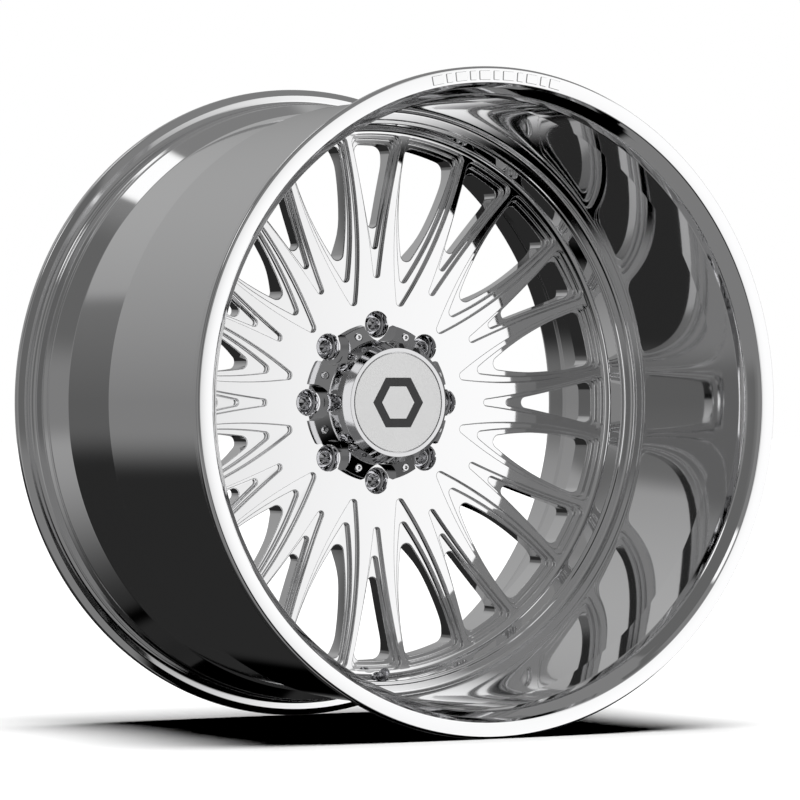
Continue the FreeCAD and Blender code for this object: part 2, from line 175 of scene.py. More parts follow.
# Each level of a window: depth of its mouth and of its floor, tip rounding, three points of its
# side as (distance from the wheel's axis, half width), outer radius and corner rounding
THROUGH = 90.0
BIG_WINDOW = [
    (0.0, 5.0, 4.5, [(113.5, 4.8), (220.0, 32.3), (284.0, 37.2)], 291.8, 8.0),
    (5.0, 10.5, 4.5, [(140.0, 4.8), (220.0, 27.7), (284.0, 34.0)], 287.0, 7.5),
    (10.5, THROUGH, 7.0, [(167.0, 7.5), (220.0, 23.7), (280.0, 30.8)], 281.5, 8.0),
]
NARROW_WINDOW = [
    (0.0, 5.0, 3.7, [(141.0, 3.9), (220.0, 16.6), (284.0, 30.9)], 291.8, 8.0),
    (5.0, 10.5, 3.7, [(172.0, 3.9), (225.0, 14.5), (284.0, 27.9)], 287.0, 7.5),
    (10.5, THROUGH, 6.0, [(196.5, 6.1), (240.0, 14.8), (280.0, 23.8)], 281.5, 8.0),
]


def deselect():
    """Leave edit mode and select nothing, so the next operator touches only its own piece."""
    if bpy.context.mode != "OBJECT":
        bpy.ops.object.mode_set(mode="OBJECT")
    bpy.ops.object.select_all(action="DESELECT")


def pick(piece):
    """Make a piece the only selected and active one."""
    deselect()
    piece.select_set(True)
    bpy.context.view_layer.objects.active = piece


def rounded(corners, arc_step=12.0):
    """Points of an outline whose corners are (u, v) or (u, v, rounding radius)."""
    plane = [Vector(c[:2]) for c in corners]
    points = []
    for i, corner in enumerate(corners):
        here = plane[i]
        radius = corner[2] if len(corner) > 2 else 0.0
        if radius == 0.0:
            points.append(here)
            continue
        before = (plane[i - 1] - here).normalized()
        after = (plane[(i + 1) % len(plane)] - here).normalized()
        half = before.angle(after) / 2
        centre = here + (before + after).normalized() * (radius / math.sin(half))
        start = here + before * (radius / math.tan(half)) - centre
        end = here + after * (radius / math.tan(half)) - centre
        sweep = start.angle_signed(end)
        count = max(2, math.ceil(math.degrees(abs(sweep)) / arc_step))
        for k in range(count + 1):
            points.append(centre + Matrix.Rotation(-sweep * k / count, 2) @ start)
    return points


def draw_outline(name, points, place):
    """A new piece in edit mode: one closed outline drawn by extruding a vertex from point to point.

    place turns a point of the outline into a place in metres.
    """
    deselect()
    bpy.ops.mesh.primitive_plane_add(size=MM, location=CENTRE)
    piece = bpy.context.active_object
    piece.name = name
    piece.data.name = name
    bpy.ops.object.mode_set(mode="EDIT")
    bpy.ops.mesh.select_mode(type="VERT")
    bpy.ops.mesh.select_all(action="SELECT")
    bpy.ops.mesh.merge(type="CENTER")
    places = [Vector(place(p)) for p in points]
    bpy.ops.transform.translate(value=places[0])
    for last, following in zip(places, places[1:]):
        bpy.ops.mesh.extrude_vertices_move(
            TRANSFORM_OT_translate={"value": following - last})
    bpy.ops.mesh.select_all(action="SELECT")
    bpy.ops.mesh.edge_face_add()
    return piece


def lathe(name, corners, steps=RIM_STEPS, arc_step=12.0, centre=CENTRE, axis=SPIN_AXIS):
    """A piece turned about an axis from (radius, place along the axis) corners.

    The axis is the wheel's own unless another is given. All places are in millimetres.
    """
    base, along = Vector(centre) * MM, Vector(axis)
    piece = draw_outline(name, rounded(corners, arc_step),
                         lambda p: base + along * (p[1] * MM) + Vector((p[0] * MM, 0, 0)))
    bpy.ops.mesh.delete(type="ONLY_FACE")
    bpy.ops.mesh.select_all(action="SELECT")
    bpy.ops.mesh.spin(steps=steps, angle=TURN, center=base, axis=along)
    bpy.ops.mesh.select_all(action="SELECT")
    bpy.ops.mesh.remove_doubles(threshold=1e-6)
    bpy.ops.mesh.normals_make_consistent(inside=False)
    bpy.ops.object.mode_set(mode="OBJECT")
    return piece


def smooth(piece, degrees=32.0):
    """Smooth shading between shallow faces, with the large flat faces kept truly flat."""
    pick(piece)
    bpy.ops.object.shade_smooth_by_angle(angle=math.radians(degrees))
    bpy.ops.object.modifier_add(type="WEIGHTED_NORMAL")
    weighted = piece.modifiers[-1]
    weighted.keep_sharp = True
    weighted.weight = 100
    bpy.ops.object.modifier_apply(modifier=weighted.name)


def repeat_around(count, total=TURN):
    """Copies of everything selected in edit mode, evenly spaced about the wheel's axis."""
    for _ in range(count - 1):
        bpy.ops.mesh.duplicate()
        bpy.ops.transform.rotate(value=total / count, orient_axis="Y", center_override=CENTRE)


def turn_selection(degrees):
    """Turn everything selected in edit mode about the wheel's axis, from +X towards +Z."""
    bpy.ops.transform.rotate(value=math.radians(degrees), orient_axis="Y",
                             center_override=CENTRE)


def carve(piece, cutter):
    """Cut one piece out of another and remove the cutter."""
    pick(piece)
    bpy.ops.object.modifier_add(type="BOOLEAN")
    cut = piece.modifiers[-1]
    cut.operation = "DIFFERENCE"
    cut.solver = "MANIFOLD"
    cut.object = cutter
    bpy.ops.object.modifier_apply(modifier=cut.name)
    pick(cutter)
    bpy.ops.object.delete()


def clean(piece, angle=0.05):
    """Join faces that lie in one plane and close hairline gaps after cutting."""
    pick(piece)
    bpy.ops.object.mode_set(mode="EDIT")
    bpy.ops.mesh.select_all(action="SELECT")
    bpy.ops.mesh.remove_doubles(threshold=2e-6)
    bpy.ops.mesh.dissolve_limited(angle_limit=math.radians(angle))
    bpy.ops.object.mode_set(mode="OBJECT")


def join(first, *others):
    """Join pieces into the first one."""
    pick(first)
    for other in others:
        other.select_set(True)
    bpy.ops.object.join()
    return first


def circle_through(points):
    """Centre and radius of the circle through three points."""
    (ax, ay), (bx, by), (cx, cy) = points
    span = 2 * (ax * (by - cy) + bx * (cy - ay) + cx * (ay - by))
    a, b, c = (ax * ax + ay * ay, bx * bx + by * by, cx * cx + cy * cy)
    x = (a * (by - cy) + b * (cy - ay) + c * (ay - by)) / span
    y = (a * (cx - bx) + b * (ax - cx) + c * (bx - ax)) / span
    return Vector((x, y)), math.hypot(ax - x, ay - y)


def arc_points(centre, radius, start, end, count):
    """Points on an arc between two directions in radians, ends included."""
    return [centre + Vector((math.cos(a), math.sin(a))) * radius
            for a in (start + (end - start) * k / count for k in range(count + 1))]


def window_outline(tip_round, side, outer_r, corner_round, grow):
    """Closed outline of a window level that points along +X, grown outwards by grow."""
    centre, side_r = circle_through(side)
    bulge = -1 if centre.y < 0 else 1
    side_r -= bulge * grow
    tip_round += grow
    corner_round += grow
    outer_r += grow
    reach = math.sqrt((side_r + bulge * tip_round) ** 2 - centre.y ** 2)
    tip = Vector((centre.x + bulge * reach, 0.0))
    far = outer_r - corner_round
    near = side_r + bulge * corner_round
    gap = centre.length
    along = (far ** 2 - near ** 2 + gap ** 2) / (2 * gap)
    across = math.sqrt(far ** 2 - along ** 2)
    out = centre / gap
    candidates = [out * along + Vector((-out.y, out.x)) * s * across for s in (1, -1)]
    corner = max(candidates, key=lambda p: p.x)
    to_tip = (tip - centre) * -bulge
    to_corner = (corner - centre) * -bulge
    tip_angle = math.atan2(to_tip.y, to_tip.x)
    corner_angle = math.atan2(to_corner.y, to_corner.x)
    half = arc_points(tip, tip_round, math.pi, tip_angle, 5)
    shift = math.pi if bulge > 0 else 0.0
    half += arc_points(centre, side_r, tip_angle + shift, corner_angle + shift, 16)[1:]
    outer_angle = math.atan2(corner.y, corner.x)
    half += arc_points(corner, corner_round, corner_angle, outer_angle, 6)[1:]
    half += arc_points(Vector((0, 0)), outer_r, outer_angle, 0.0, 8)[1:-1]
    mirrored = [Vector((p.x, -p.y)) for p in reversed(half[1:])]
    return half + [Vector((outer_r, 0.0))] + mirrored


def window_plugs(name, level, count, first, edge):
    """Cutters for one level of a family of windows, with a rounded mouth and floor."""
    mouth, floor, tip_round, side, outer_r, corner_round = level
    start = FACE_Y + mouth
    outline = window_outline(tip_round, side, outer_r, corner_round, edge)
    piece = draw_outline(name, outline, lambda p: (p[0] * MM, (start - 0.5) * MM, p[1] * MM))
    push_down(0.49)
    step_in(edge, [0, 30, 60, 90], rising=False)
    if floor < THROUGH:
        push_down(floor - mouth - 2 * edge - 0.02)
        step_in(edge, [0, 45, 90], rising=True)
    else:
        push_down(floor)
    bpy.ops.mesh.select_all(action="SELECT")
    bpy.ops.mesh.normals_make_consistent(inside=False)
    turn_selection(first)
    repeat_around(count)
    bpy.ops.object.mode_set(mode="OBJECT")
    return piece


def step_in(radius, degrees, rising):
    """Follow a quarter circle with the selected face: narrower and deeper at every step."""
    turns = [math.radians(d) for d in degrees]
    for last, following in zip(turns, turns[1:]):
        inwards = math.sin(following) - math.sin(last)
        deeper = math.cos(last) - math.cos(following)
        if rising:
            inwards, deeper = deeper, inwards
        bpy.ops.mesh.inset(thickness=radius * inwards * MM)
        bpy.ops.transform.translate(value=(0, radius * deeper * MM, 0))


def push_down(distance):
    """Extrude the selected face backwards, in millimetres."""
    bpy.ops.mesh.extrude_region_move(TRANSFORM_OT_translate={"value": (0, distance * MM, 0)})


def repeat_piece(piece, count, first=0.0):
    """Turn a piece's mesh into evenly spaced copies about the wheel's axis."""
    pick(piece)
    bpy.ops.object.mode_set(mode="EDIT")
    bpy.ops.mesh.select_all(action="SELECT")
    turn_selection(first)
    repeat_around(count)
    bpy.ops.object.mode_set(mode="OBJECT")


def settle(piece, body, slot, *nodes):
    """Attach a piece to the empty of the body it rides on and hide the CAD nodes it stands for;
    slot is not used.
    """
    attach(piece, body)
    if nodes:
        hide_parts(*nodes)


def paint(piece, material):
    """Give a piece one material."""
    piece.data.materials.clear()
    piece.data.materials.append(material)


# Finishes

class Value:
    """A shader socket that builds Math nodes when it is used in an expression."""

    def __init__(self, tree, socket):
        self.tree = tree
        self.socket = socket

    def combine(self, operation, first, second):
        """A Math node for an operation that Python has no sign for."""
        return self.tree.add("ShaderNodeMath", {"operation": operation},
                             {0: first, 1: second})

    def __add__(self, other):
        return self.combine("ADD", self, other)

    __radd__ = __add__

    def __sub__(self, other):
        return self.combine("SUBTRACT", self, other)

    def __rsub__(self, other):
        return self.combine("SUBTRACT", other, self)

    def __mul__(self, other):
        return self.combine("MULTIPLY", self, other)

    __rmul__ = __mul__


class Tree:
    """A node tree that is written as expressions."""

    def __init__(self, node_tree):
        self.nodes = node_tree.nodes
        self.links = node_tree.links
        self.nodes.clear()

    def add(self, kind, settings=None, values=None, output=0):
        """Add a node: its settings are set first, then its sockets' values or links."""
        node = self.nodes.new(kind)
        for name, setting in (settings or {}).items():
            setattr(node, name, setting)
        for name, value in (values or {}).items():
            if isinstance(value, Value):
                self.links.new(value.socket, node.inputs[name])
            else:
                node.inputs[name].default_value = value
        return Value(self, node.outputs[output]) if node.outputs else None

    def step(self, value, low, high):
        """0 below low, 1 above high and a smooth rise between them."""
        return self.add("ShaderNodeMapRange", {"interpolation_type": "SMOOTHERSTEP"},
                        {0: value, 1: low, 2: high, 3: 0.0, 4: 1.0})

    def band(self, value, low, high, soft):
        """1 between two values, with edges of a given softness."""
        return (self.step(value, low - soft / 2, low + soft / 2)
                * (1 - self.step(value, high - soft / 2, high + soft / 2)))


def new_material(name):
    """A material with an empty node tree."""
    material = bpy.data.materials.new(name)
    material.use_nodes = True
    return material, Tree(material.node_tree)


def polished_metal(name, colour, roughness, spread=0.01, wave=0.0):
    """Polished metal with faint cloudiness in the polish and a very slight wave."""
    material, tree = new_material(name)
    place = tree.add("ShaderNodeTexCoord", output=3)
    cloud = tree.add("ShaderNodeTexNoise", None,
                     {"Vector": place, "Scale": 22.0, "Detail": 4.0, "Roughness": 0.6})
    fine = tree.add("ShaderNodeTexNoise", None,
                    {"Vector": place, "Scale": 260.0, "Detail": 2.0, "Roughness": 0.5})
    height = fine * 0.25 + cloud * wave
    normal = tree.add("ShaderNodeBump", None,
                      {"Strength": 0.02, "Distance": 0.0002, "Height": height})
    shader = tree.add("ShaderNodeBsdfPrincipled", None, {
        "Base Color": (*colour, 1.0), "Metallic": 1.0,
        "Roughness": cloud * spread + fine * spread + roughness, "Normal": normal})
    tree.add("ShaderNodeOutputMaterial", None, {"Surface": shader})
    return material


def plain_coat(name, colour, roughness, coat=0.0, bump=0.05, scale=900.0):
    """Rubber, enamel or plastic with a fine moulded grain."""
    material, tree = new_material(name)
    place = tree.add("ShaderNodeTexCoord", output=3)
    grain = tree.add("ShaderNodeTexNoise", None,
                     {"Vector": place, "Scale": scale, "Detail": 3.0})
    normal = tree.add("ShaderNodeBump", None,
                      {"Strength": bump, "Distance": 0.0002, "Height": grain})
    shader = tree.add("ShaderNodeBsdfPrincipled", None, {
        "Base Color": (*colour, 1.0), "Metallic": 0.0, "Coat Weight": coat,
        "Roughness": grain * 0.1 + roughness, "Normal": normal})
    tree.add("ShaderNodeOutputMaterial", None, {"Surface": shader})
    return material


FINISHES = {}


def finish(name):
    """The finish of that name, made when it is first asked for."""
    if name not in FINISHES:
        rim = bpy.context.scene.wheel_rim
        metal = tuple(rim.metal_colour)
        polish = rim.polish
        makers = {
            "machined_aluminium": lambda: polished_metal("machined_aluminium", metal, polish),
            "polished_lip": lambda: polished_metal("polished_lip", metal, polish),
            "polished_barrel": lambda: polished_metal("polished_barrel", metal, polish + 0.03),
            "weld_polished": lambda: polished_metal("weld_polished", metal, 0.08, wave=0.5),
            "chrome_cap": lambda: polished_metal("chrome_cap", (0.72, 0.72, 0.73), 0.03),
            "satin_plate": lambda: polished_metal("satin_plate", (0.86, 0.86, 0.86), 0.3, 0.05),
            "nut_chrome": lambda: polished_metal("nut_chrome", (0.86, 0.86, 0.88), 0.05),
            "screw_steel": lambda: polished_metal("screw_steel", (0.8, 0.8, 0.81), 0.1),
            "valve_metal": lambda: polished_metal("valve_metal", (0.75, 0.75, 0.77), 0.08),
            "valve_cap_metal": lambda: polished_metal("valve_cap_metal", (0.7, 0.7, 0.72), 0.1),
            "valve_brass": lambda: polished_metal("valve_brass", (0.75, 0.58, 0.3), 0.2),
            "valve_steel": lambda: polished_metal("valve_steel", (0.55, 0.55, 0.56), 0.2),
            "dark_inlay": lambda: plain_coat("dark_inlay", (0.028, 0.028, 0.03), 0.35, 0.3),
            "seal_rubber": lambda: plain_coat("seal_rubber", (0.02, 0.02, 0.02), 0.6, 0.0, 0.3),
        }
        FINISHES[name] = makers[name]()
    return FINISHES[name]


class WheelRimProperties(bpy.types.PropertyGroup):
    """Sizes and colours of the wheel that a user may change."""

    metal_colour: bpy.props.FloatVectorProperty(
        name="Metal Colour", description="Colour of the polished aluminium",
        default=(0.9, 0.9, 0.905), subtype="COLOR", min=0.0, max=1.0)
    polish: bpy.props.FloatProperty(
        name="Polish Roughness", description="Roughness of the polished aluminium",
        default=0.025, min=0.0, max=1.0, subtype="FACTOR")
    edge_radius: bpy.props.FloatProperty(
        name="Edge Radius", description="Rounding of the edges of every window step",
        default=1.0 * MM, min=0.0, unit="LENGTH")
    moulding: bpy.props.FloatProperty(
        name="Lip Moulding", description="Height of the small step inside the front lip",
        default=0.6 * MM, min=0.0, unit="LENGTH")


def rim_half(side, barrel_r, join_y):
    """Tyre side of one bead seat and flange, from the barrel out to the flange's face."""
    return [
        (barrel_r, join_y, 9.0),
        (SEAT_R - 1.6, side * 168.5, 3.0),
        (SEAT_R - 1.6, side * 174.0, 2.0),
        (SEAT_R + 0.9, side * 178.5, 3.0),
        (SEAT_R - 1.2, side * 183.0, 2.0),
        (SEAT_R, side * (FLANGE_BACK - 0.5), 6.0),
        (FLANGE_R - 7.0, side * FLANGE_BACK, 3.0),
        (FLANGE_R, side * (FLANGE_BACK + 5.0), 4.0),
        (FLANGE_R, side * HALF_WIDTH, 3.6),
        (FLANGE_FACE_R, side * HALF_WIDTH),
    ]


class WHEEL_OT_outer_lip(bpy.types.Operator):
    """Build the front half of the barrel with its deep polished dish"""

    bl_idname = "wheel.outer_lip"
    bl_label = "Outer Lip"

    def execute(self, context):
        step = context.scene.wheel_rim.moulding / MM
        inside = [
            (FLANGE_FACE_R - 1.6, -HALF_WIDTH + 0.7, 0.6),
            (FLANGE_FACE_R - 3.6, -HALF_WIDTH + 3.4, 1.2),
            (FLANGE_FACE_R - 6.0, -HALF_WIDTH + 6.2),
            (FLANGE_FACE_R - 6.0 - step, -HALF_WIDTH + 6.2 + step, 0.2),
            (LIP_IN_R + 3.4, -HALF_WIDTH + 14.0, 8.0),
            (LIP_IN_R + 1.6, -HALF_WIDTH + 24.0),
            (LIP_IN_R + 0.9, -HALF_WIDTH + 24.6),
            (LIP_IN_R, -150.0, 60.0),
            (LIP_IN_R, STEP_Y),
            (LIP_OUT_R, STEP_Y, 0.8),
        ]
        piece = lathe("outer_lip_polished", rim_half(-1, LIP_OUT_R, -160.0) + inside)
        smooth(piece)
        paint(piece, finish("polished_lip"))
        settle(piece, RIM_BODY, "polished_lip", "outer_lip")
        return {"FINISHED"}


class WHEEL_OT_inner_barrel(bpy.types.Operator):
    """Build the rear half of the barrel with its drop centre and rear flange"""

    bl_idname = "wheel.inner_barrel"
    bl_label = "Inner Barrel"

    def execute(self, context):
        inside = [
            (FLANGE_FACE_R - 3.0, HALF_WIDTH, 1.5),
            (SEAT_R - 9.0, HALF_WIDTH - 14.0, 8.0),
            (SEAT_R - 9.4, 172.0, 6.0),
            (BARREL_REAR_R - BARREL_WALL, DROP_END_Y + 3.0, 6.0),
            (BARREL_FRONT_R - BARREL_WALL, STEP_Y),
            (BARREL_FRONT_R, STEP_Y),
        ]
        piece = lathe("inner_barrel_polished",
                      rim_half(1, BARREL_REAR_R, DROP_END_Y) + inside)
        carve(piece, valve_passage())
        smooth(piece)
        paint(piece, finish("polished_barrel"))
        settle(piece, RIM_BODY, "polished_barrel", "inner_barrel")
        return {"FINISHED"}


class WHEEL_OT_forged_centre(bpy.types.Operator):
    """Build the forged disc: spokes with stepped windows, lug bores and rim band"""

    bl_idname = "wheel.forged_centre"
    bl_label = "Forged Centre"

    def execute(self, context):
        edge = context.scene.wheel_rim.edge_radius / MM
        disc = lathe("forged_centre_polished", [
            (CAP_SEAT_R, FACE_Y),
            (RIM_FOOT_R, FACE_Y, 7.0),
            (RIM_FOOT_R + 4.5, CREST_Y, 1.4),
            (RIM_FOOT_R + 8.0, CREST_Y, 1.4),
            (RIM_FOOT_R + 9.2, LEDGE_Y, 1.0),
            (BAND_R, LEDGE_Y),
            (BAND_R, STEP_Y),
            (BAND_BACK_R, STEP_Y),
            (BAND_BACK_R, BAND_BACK_Y, 1.5),
            (289.0, BAND_BACK_Y, 4.0),
            (262.0, SPOKE_BACK_Y, 30.0),
            (190.0, SPOKE_BACK_Y, 60.0),
            (PAD_R + 14.0, PAD_Y - 12.0, 20.0),
            (PAD_R, PAD_Y, 2.0),
            (BORE_R + 2.0, PAD_Y),
            (BORE_R, PAD_Y - 2.0),
            (BORE_R, FACE_Y + CAP_SEAT_DEPTH),
            (CAP_SEAT_R, FACE_Y + CAP_SEAT_DEPTH),
        ])
        step = 360.0 / WINDOW_COUNT
        for big, narrow in zip(BIG_WINDOW, NARROW_WINDOW):
            cutter = join(
                window_plugs("big_plug", big, WINDOW_COUNT, step / 2, edge),
                window_plugs("narrow_plug", narrow, WINDOW_COUNT, 0.0, edge))
            carve(disc, cutter)
        seat_end = SEAT_TOP_Y + (LUG_BORE_R - LUG_HOLE_R) / SEAT_TAN
        bores = lathe("lug_bores", [
            (0.0, FACE_Y - 1.0), (LUG_BORE_R + 1.2, FACE_Y - 1.0),
            (LUG_BORE_R + 1.2, FACE_Y + 0.02), (LUG_BORE_R, FACE_Y + 1.2, 1.2),
            (LUG_BORE_R, SEAT_TOP_Y), (LUG_HOLE_R, seat_end), (LUG_HOLE_R, PAD_Y + 1.0),
            (0.0, PAD_Y + 1.0)], steps=64)
        move_piece(bores, (LUG_CIRCLE_R, 0, 0))
        repeat_piece(bores, LUG_COUNT)
        carve(disc, bores)
        holes = lathe("screw_holes", [
            (0.0, FACE_Y - 1.0), (SCREW_SHANK_R + 0.05, FACE_Y - 1.0),
            (SCREW_SHANK_R + 0.05, SCREW_END_Y + 3.0), (0.0, SCREW_END_Y + 3.0)], steps=24)
        move_piece(holes, (SCREW_CIRCLE_R, 0, 0))
        repeat_piece(holes, LUG_COUNT, 180.0 / LUG_COUNT)
        carve(disc, holes)
        carve(disc, valve_passage())
        clean(disc)
        smooth(disc)
        paint(disc, finish("machined_aluminium"))
        settle(disc, RIM_BODY, "machined_aluminium", "forged_centre")
        return {"FINISHED"}


def move_piece(piece, millimetres):
    """Move a piece's mesh, leaving its object at the origin."""
    pick(piece)
    bpy.ops.object.mode_set(mode="EDIT")
    bpy.ops.mesh.select_all(action="SELECT")
    bpy.ops.transform.translate(value=[v * MM for v in millimetres])
    bpy.ops.object.mode_set(mode="OBJECT")


def valve_lathe(name, corners, steps=48):
    """A piece turned about the valve's axis."""
    return lathe(name, corners, steps, 15.0, VALVE_POINT, VALVE_AXIS)


def valve_passage():
    """Cutter for the valve: pocket for the nut, hole, and spot face for the head."""
    return valve_lathe("valve_passage", [
        (0.0, -40.0), (VALVE_POCKET_R, -40.0), (VALVE_POCKET_R, VALVE_SEAT),
        (VALVE_HOLE_R, VALVE_SEAT), (VALVE_HOLE_R, VALVE_HEAD_SEAT),
        (VALVE_SPOT_R, VALVE_HEAD_SEAT), (VALVE_SPOT_R, 40.0), (0.0, 40.0)])


def hexagon(radius):
    """Corners of a regular hexagon."""
    return [Vector((math.cos(a), math.sin(a))) * radius
            for a in (math.radians(60 * k) for k in range(6))]


def prism(name, outline, low, high):
    """A prism along the wheel's axis between two places on it."""
    piece = draw_outline(name, outline, lambda p: (p[0] * MM, low * MM, p[1] * MM))
    push_down(high - low)
    bpy.ops.mesh.select_all(action="SELECT")
    bpy.ops.mesh.normals_make_consistent(inside=False)
    bpy.ops.object.mode_set(mode="OBJECT")
    return piece


def soften(piece, width, segments=2, degrees=35.0):
    """Round every edge that is sharper than an angle."""
    pick(piece)
    bpy.ops.object.modifier_add(type="BEVEL")
    bevel = piece.modifiers[-1]
    bevel.width = width * MM
    bevel.segments = segments
    bevel.limit_method = "ANGLE"
    bevel.angle_limit = math.radians(degrees)
    bpy.ops.object.modifier_apply(modifier=bevel.name)


class WHEEL_OT_welds(bpy.types.Operator):
    """Build the blended bead in the dish and the bead on the tyre side"""

    bl_idname = "wheel.welds"
    bl_label = "Weld Beads"

    def execute(self, context):
        bead_r = LIP_IN_R - 0.02
        inside = lathe("lip_weld_bead", [
            (bead_r, LEDGE_Y), (bead_r - WELD_SIZE, LEDGE_Y),
            (bead_r - WELD_SIZE, LEDGE_Y - 0.3),
            (bead_r - 0.3, LEDGE_Y - 0.3, WELD_SIZE - 0.5),
            (bead_r - 0.3, LEDGE_Y - WELD_SIZE), (bead_r, LEDGE_Y - WELD_SIZE)])
        cone = (BARREL_REAR_R - BARREL_FRONT_R) / (DROP_END_Y - STEP_Y)
        foot_r = BARREL_FRONT_R + 4.4 * cone
        outside = lathe("barrel_weld_bead", [
            (BARREL_FRONT_R + 0.05, STEP_Y), (LIP_OUT_R - 3.0, STEP_Y),
            (LIP_OUT_R - 4.0, STEP_Y + 1.6, 1.0), (foot_r + 2.2, STEP_Y + 2.6, 2.0),
            (foot_r + 0.05, STEP_Y + 4.4)])
        carve(outside, valve_passage())
        for piece, node in ((inside, "lip_weld"), (outside, "barrel_weld")):
            smooth(piece)
            paint(piece, finish("weld_polished"))
            settle(piece, RIM_BODY, "weld_polished", node)
        return {"FINISHED"}


class WHEEL_OT_lug_nuts(bpy.types.Operator):
    """Build one fluted lug nut and copy it into all eight bores"""

    bl_idname = "wheel.lug_nuts"
    bl_label = "Lug Nuts"

    def execute(self, context):
        cone_y = SEAT_TOP_Y + (LUG_BORE_R - NUT_SKIRT_R) / SEAT_TAN - 0.2
        end_y = cone_y + (NUT_SKIRT_R - NUT_HOLE_R - 1.0) / SEAT_TAN
        nut = lathe("lug_nut_chrome_1", [
            (0.0, NUT_FRONT_Y), (NUT_NOSE_R, NUT_FRONT_Y, 0.3),
            (NUT_R, NUT_FRONT_Y + NUT_NOSE_LENGTH, 0.8), (NUT_R, NUT_SKIRT_Y, 0.6),
            (NUT_SKIRT_R, NUT_SKIRT_Y + 1.2, 0.4), (NUT_SKIRT_R, cone_y),
            (NUT_HOLE_R + 1.0, end_y), (NUT_HOLE_R, end_y), (NUT_HOLE_R, NUT_SOCKET_END_Y),
            (0.0, NUT_SOCKET_END_Y)], steps=72)
        carve(nut, prism("nut_socket", hexagon(NUT_SOCKET_R), NUT_FRONT_Y - 1.0, PAD_Y))
        mouth = NUT_SOCKET_R + 0.3
        carve(nut, lathe("nut_mouth", [
            (0.0, NUT_FRONT_Y - 1.0), (mouth, NUT_FRONT_Y - 1.0), (mouth, NUT_FRONT_Y),
            (0.0, NUT_FRONT_Y + mouth)], steps=72))
        flute_end = NUT_SKIRT_Y - 0.5
        flutes = lathe("nut_flutes", [
            (0.0, NUT_FRONT_Y - 1.0), (NUT_FLUTE_R, NUT_FRONT_Y - 1.0),
            (NUT_FLUTE_R, flute_end), (0.0, flute_end)], steps=16)
        move_piece(flutes, (NUT_R + 0.5, 0, 0))
        repeat_piece(flutes, NUT_FLUTES)
        carve(nut, flutes)
        soften(nut, 0.18)
        smooth(nut, 40.0)
        move_piece(nut, (LUG_CIRCLE_R, 0, 0))
        paint(nut, finish("nut_chrome"))
        nuts = [nut]
        for k in range(1, LUG_COUNT):
            pick(nuts[-1])
            bpy.ops.object.duplicate()
            following = bpy.context.active_object
            following.name = "lug_nut_chrome_%d" % (k + 1)
            bpy.ops.object.mode_set(mode="EDIT")
            bpy.ops.mesh.select_all(action="SELECT")
            turn_selection(360.0 / LUG_COUNT)
            bpy.ops.object.mode_set(mode="OBJECT")
            nuts.append(following)
        for k, piece in enumerate(nuts):
            node = "lug_nut_%d" % (k + 1)
            settle(piece, node, "nut_chrome", node)
        return {"FINISHED"}


class WHEEL_OT_centre_cap(bpy.types.Operator):
    """Build the billet cap: scalloped flange, tapered wall and recess for the plate"""

    bl_idname = "wheel.centre_cap"
    bl_label = "Centre Cap"

    def execute(self, context):
        recess_y = CAP_FACE_Y + PLATE_THICK
        recess_r = PLATE_R + 0.8
        hollow_y = recess_y + CAP_TOP_THICK
        spigot_r = CAP_SEAT_R - 0.2
        spigot_y = FACE_Y + CAP_SEAT_DEPTH - 0.3
        cap = lathe("cap_body_chrome", [
            (spigot_r, FACE_Y), (*CAP_FLANGE, 0.6), (*CAP_RIM, 1.0), (*CAP_FOOT, 2.5),
            (*CAP_SHOULDER, 0.8), (CAP_FACE_R, CAP_FACE_Y, 0.7), (recess_r, CAP_FACE_Y, 0.4),
            (recess_r, recess_y), (0.0, recess_y), (0.0, hollow_y),
            (CAP_HOLLOW_R, hollow_y, 6.0), (CAP_HOLLOW_R, spigot_y),
            (spigot_r, spigot_y)], steps=192)
        shoulder_y = CAP_SHOULDER[1]
        scallops = lathe("cap_scallops", [
            (0.0, shoulder_y), (SCALLOP_R, shoulder_y), (SCALLOP_R, FACE_Y + 1.0),
            (0.0, FACE_Y + 1.0)], steps=96)
        move_piece(scallops, (LUG_CIRCLE_R, 0, 0))
        repeat_piece(scallops, LUG_COUNT)
        carve(cap, scallops)
        above_y = CAP_FOOT[1] - 6.0
        bores = lathe("cap_bores", [
            (0.0, above_y), (SCREW_HEAD_R + 0.5, above_y),
            (SCREW_HEAD_R + 0.5, SCREW_FACE_Y + SCREW_HEAD_H),
            (SCREW_SHANK_R + 0.3, SCREW_FACE_Y + SCREW_HEAD_H),
            (SCREW_SHANK_R + 0.3, FACE_Y + 1.0), (0.0, FACE_Y + 1.0)], steps=32)
        move_piece(bores, (SCREW_CIRCLE_R, 0, 0))
        repeat_piece(bores, LUG_COUNT, 180.0 / LUG_COUNT)
        carve(cap, bores)
        soften(cap, 0.3)
        smooth(cap, 40.0)
        paint(cap, finish("chrome_cap"))
        settle(cap, RIM_BODY, "chrome_cap", "cap_body")
        return {"FINISHED"}


